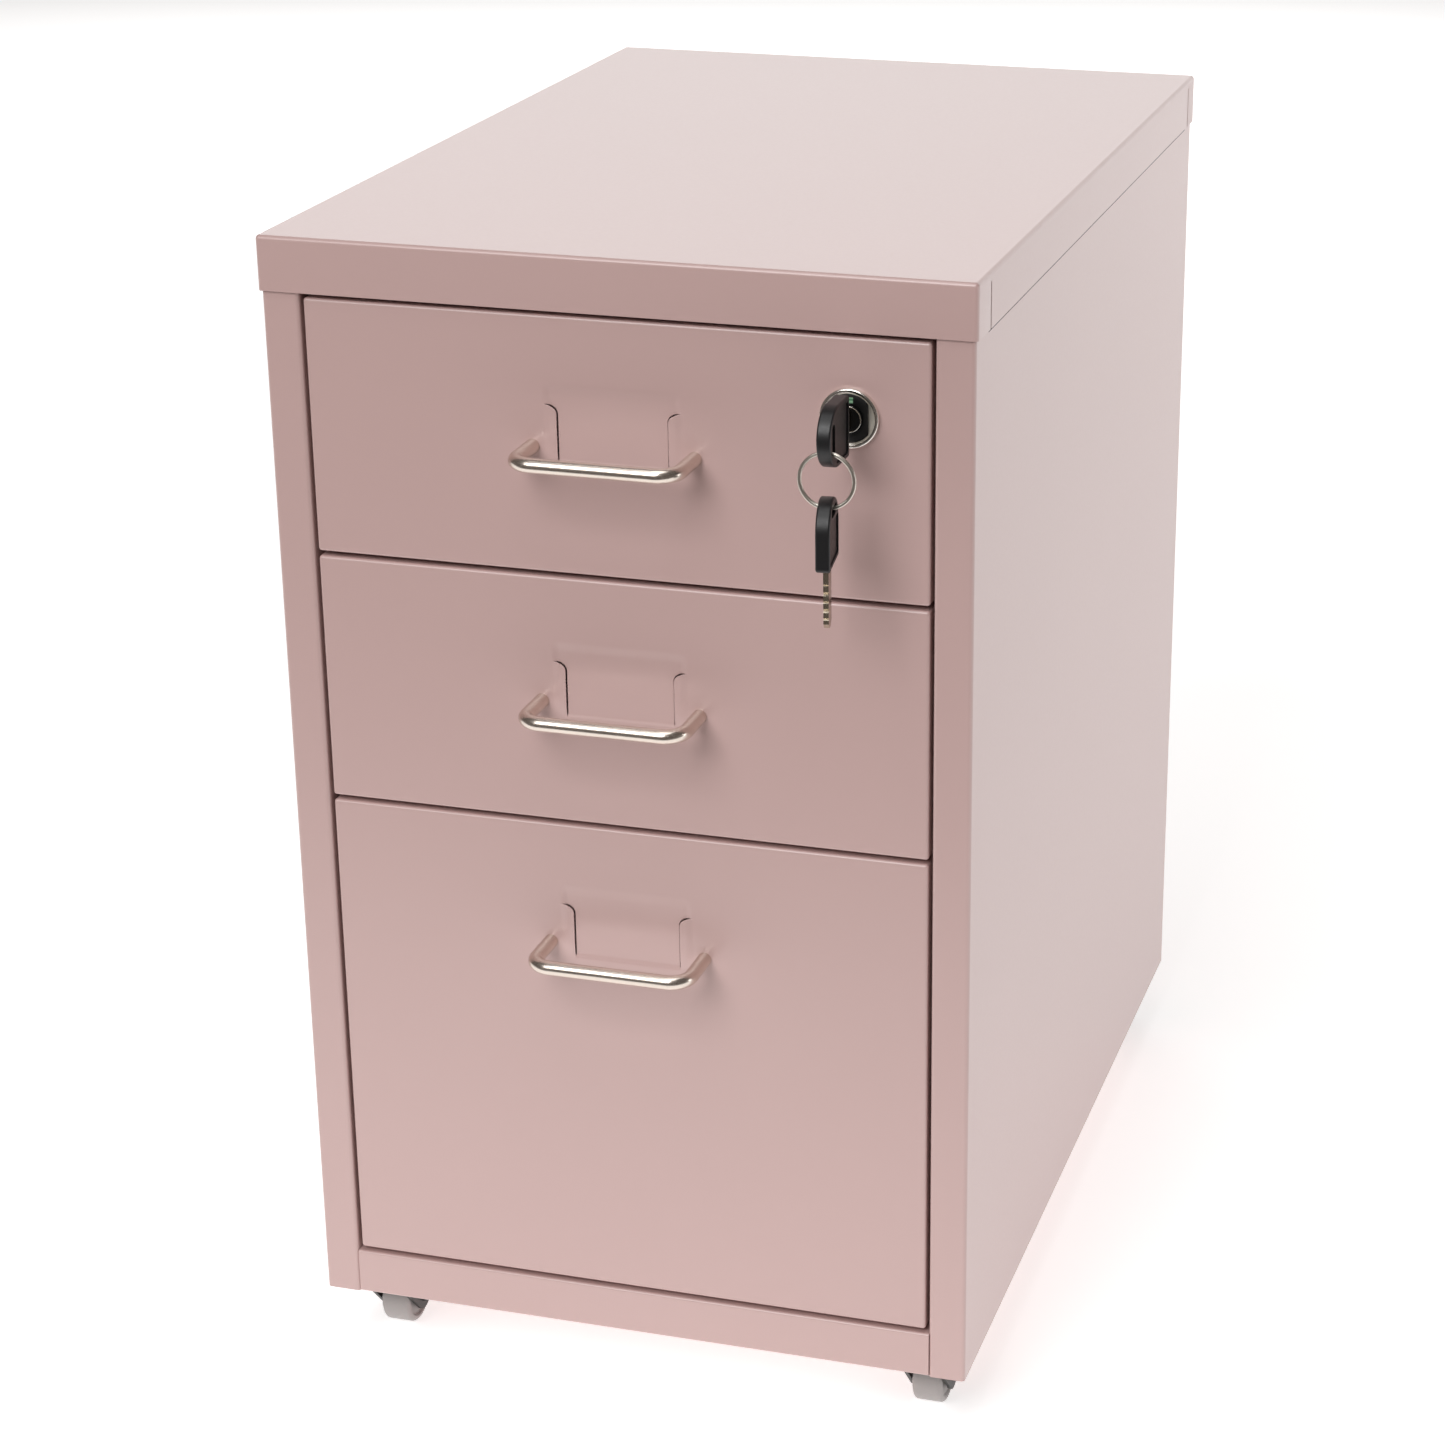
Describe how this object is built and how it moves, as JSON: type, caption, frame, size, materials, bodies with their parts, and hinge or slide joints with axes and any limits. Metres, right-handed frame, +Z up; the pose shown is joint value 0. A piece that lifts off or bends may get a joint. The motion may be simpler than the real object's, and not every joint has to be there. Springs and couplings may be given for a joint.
{
  "type": "mobile filing cabinet",
  "caption": "Small steel under-desk filing cabinet on swivel casters, with stacked pull-out drawers, bar handles and a cam lock with keys on a ring.",
  "frame": {"origin": "on the floor, at the middle of the footprint of the whole object, handles and hanging key included", "axes": "+X towards the lock side (right, seen from the front), -Y out of the drawer fronts, +Z up"},
  "size_m": [0.28, 0.4558, 0.4827],
  "materials": {
    "coated_steel": "smooth satin powder coat, dusty pink",
    "handle_metal": "satin nickel plating, warm",
    "polished_chrome": "polished",
    "black_lock": "black, low gloss",
    "black_plastic": "moulded, satin",
    "key_steel": "nickel plated",
    "zinc_steel": "bright zinc plating",
    "wheel_grey": "moulded grey tread",
    "nylon": "natural nylon"
  },
  "bodies": {
    "cabinet": {"back_panel": "coated_steel", "back_panel_screws": "zinc_steel", "bottom_panel": "coated_steel", "caster_front_left_plate": "zinc_steel", "caster_front_right_plate": "zinc_steel", "caster_kingpins": "zinc_steel", "caster_rear_left_plate": "zinc_steel", "caster_rear_right_plate": "zinc_steel", "caster_screws": "zinc_steel", "drawer_1_runner_left": "zinc_steel", "drawer_1_runner_right": "zinc_steel", "drawer_2_runner_left": "zinc_steel", "drawer_2_runner_right": "zinc_steel", "drawer_3_runner_left": "zinc_steel", "drawer_3_runner_right": "zinc_steel", "runner_pads": "nylon", "side_panel_left": "coated_steel", "side_panel_right": "coated_steel", "top_front_rail": "coated_steel", "top_panel": "coated_steel"},
    "drawer_1": {"drawer_1_front": "coated_steel", "drawer_1_glides": "nylon", "drawer_1_handle": "handle_metal", "drawer_1_handle_screws": "zinc_steel", "drawer_1_inner_wall": "coated_steel", "drawer_1_rear_wall": "coated_steel", "drawer_1_tray": "coated_steel", "lock_housing": "black_lock", "lock_nut": "zinc_steel", "lock_trim_ring": "polished_chrome"},
    "drawer_2": {"drawer_2_front": "coated_steel", "drawer_2_glides": "nylon", "drawer_2_handle": "handle_metal", "drawer_2_handle_screws": "zinc_steel", "drawer_2_inner_wall": "coated_steel", "drawer_2_rear_wall": "coated_steel", "drawer_2_tray": "coated_steel"},
    "drawer_3": {"drawer_3_front": "coated_steel", "drawer_3_glides": "nylon", "drawer_3_handle": "handle_metal", "drawer_3_handle_screws": "zinc_steel", "drawer_3_inner_wall": "coated_steel", "drawer_3_rear_wall": "coated_steel", "drawer_3_tray": "coated_steel"},
    "lock_plug": {"lock_cam": "zinc_steel", "lock_cam_screw": "zinc_steel", "lock_plug": "black_lock"},
    "key": {"key_blade": "key_steel", "key_head": "black_plastic"},
    "key_ring": {"key_ring": "key_steel"},
    "spare_key": {"spare_key_blade": "key_steel", "spare_key_head": "black_plastic"},
    "caster_front_left_swivel": {"caster_front_left_axle": "zinc_steel", "caster_front_left_fork": "zinc_steel"},
    "caster_front_left_wheel": {"caster_front_left_wheel": "wheel_grey"},
    "caster_front_right_swivel": {"caster_front_right_axle": "zinc_steel", "caster_front_right_fork": "zinc_steel"},
    "caster_front_right_wheel": {"caster_front_right_wheel": "wheel_grey"},
    "caster_rear_left_swivel": {"caster_rear_left_axle": "zinc_steel", "caster_rear_left_fork": "zinc_steel"},
    "caster_rear_left_wheel": {"caster_rear_left_wheel": "wheel_grey"},
    "caster_rear_right_swivel": {"caster_rear_right_axle": "zinc_steel", "caster_rear_right_fork": "zinc_steel"},
    "caster_rear_right_wheel": {"caster_rear_right_wheel": "wheel_grey"}
  },
  "joints": [
    {"name": "drawer_1_slide", "type": "slide", "parent": "cabinet", "child": "drawer_1", "axis": [0, -1, 0], "range_m": [0, 0.3]},
    {"name": "drawer_2_slide", "type": "slide", "parent": "cabinet", "child": "drawer_2", "axis": [0, -1, 0], "range_m": [0, 0.3]},
    {"name": "drawer_3_slide", "type": "slide", "parent": "cabinet", "child": "drawer_3", "axis": [0, -1, 0], "range_m": [0, 0.3]},
    {"name": "lock_turn", "type": "hinge", "parent": "drawer_1", "child": "lock_plug", "pos_m": [0.092, -0.1858, 0.4295], "axis": [0, 1, 0], "range_deg": [0, 90]},
    {"name": "key_withdraw", "type": "slide", "parent": "lock_plug", "child": "key", "axis": [0, -1, 0], "range_m": [0, 0.0169]},
    {"name": "key_ring_swing", "type": "hinge", "parent": "key", "child": "key_ring", "pos_m": [0.092, -0.2163, 0.42475], "axis": [1, 0, 0], "range_deg": [-60, 10]},
    {"name": "spare_key_swing", "type": "hinge", "parent": "key_ring", "child": "spare_key", "pos_m": [0.092, -0.2163, 0.40425], "axis": [1, 0, 0], "range_deg": [-60, 15]},
    {"name": "caster_front_left_swivel_joint", "type": "hinge", "parent": "cabinet", "child": "caster_front_left_swivel", "pos_m": [-0.118, -0.1632, 0.0271], "axis": [0, 0, 1], "continuous": true},
    {"name": "caster_front_left_roll", "type": "hinge", "parent": "caster_front_left_swivel", "child": "caster_front_left_wheel", "pos_m": [-0.118, -0.1537, 0.0125], "axis": [1, 0, 0], "continuous": true},
    {"name": "caster_front_right_swivel_joint", "type": "hinge", "parent": "cabinet", "child": "caster_front_right_swivel", "pos_m": [0.118, -0.1632, 0.0271], "axis": [0, 0, 1], "continuous": true},
    {"name": "caster_front_right_roll", "type": "hinge", "parent": "caster_front_right_swivel", "child": "caster_front_right_wheel", "pos_m": [0.118, -0.1537, 0.0125], "axis": [1, 0, 0], "continuous": true},
    {"name": "caster_rear_left_swivel_joint", "type": "hinge", "parent": "cabinet", "child": "caster_rear_left_swivel", "pos_m": [-0.118, 0.2038, 0.0271], "axis": [0, 0, 1], "continuous": true},
    {"name": "caster_rear_left_roll", "type": "hinge", "parent": "caster_rear_left_swivel", "child": "caster_rear_left_wheel", "pos_m": [-0.118, 0.2133, 0.0125], "axis": [1, 0, 0], "continuous": true},
    {"name": "caster_rear_right_swivel_joint", "type": "hinge", "parent": "cabinet", "child": "caster_rear_right_swivel", "pos_m": [0.118, 0.2038, 0.0271], "axis": [0, 0, 1], "continuous": true},
    {"name": "caster_rear_right_roll", "type": "hinge", "parent": "caster_rear_right_swivel", "child": "caster_rear_right_wheel", "pos_m": [0.118, 0.2133, 0.0125], "axis": [1, 0, 0], "continuous": true}
  ]
}
